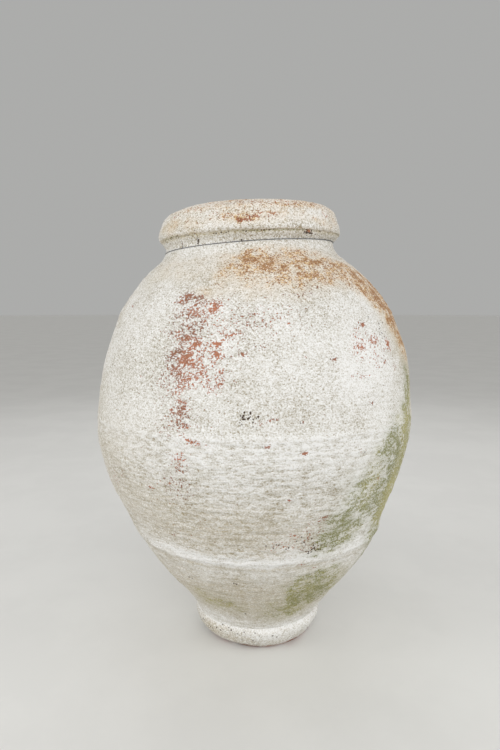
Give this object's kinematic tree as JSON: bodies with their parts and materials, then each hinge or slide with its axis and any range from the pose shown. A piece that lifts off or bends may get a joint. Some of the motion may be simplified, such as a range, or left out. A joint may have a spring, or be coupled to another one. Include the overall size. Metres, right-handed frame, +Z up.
{
  "type": "olive jar",
  "caption": "Tall hand-thrown terracotta olive jar with a swelling belly, ridged joints between its thrown sections, a rolled rim collar, a small foot and a wire tied round the neck.",
  "frame": {"origin": "the middle of the jar's bounding box on the ground, under the foot", "axes": "+Z up along the jar's axis, -Y towards the pictured front, +X to the right of that view"},
  "size_m": [0.64, 0.6398, 0.8832],
  "materials": {
    "limewashed_terracotta": "worn brushed limewash over terracotta, matt and gritty",
    "raw_terracotta": "bare fired terracotta, matt",
    "steel_wire": "dull dark annealed wire"
  },
  "bodies": {
    "root": {"base_disc": "raw_terracotta", "foot_ring": "limewashed_terracotta", "lower_wall": "limewashed_terracotta", "lower_belly": "limewashed_terracotta", "upper_belly": "limewashed_terracotta", "shoulder": "limewashed_terracotta", "rim_collar": "limewashed_terracotta", "neck_wire": "steel_wire"}
  },
  "joints": []
}
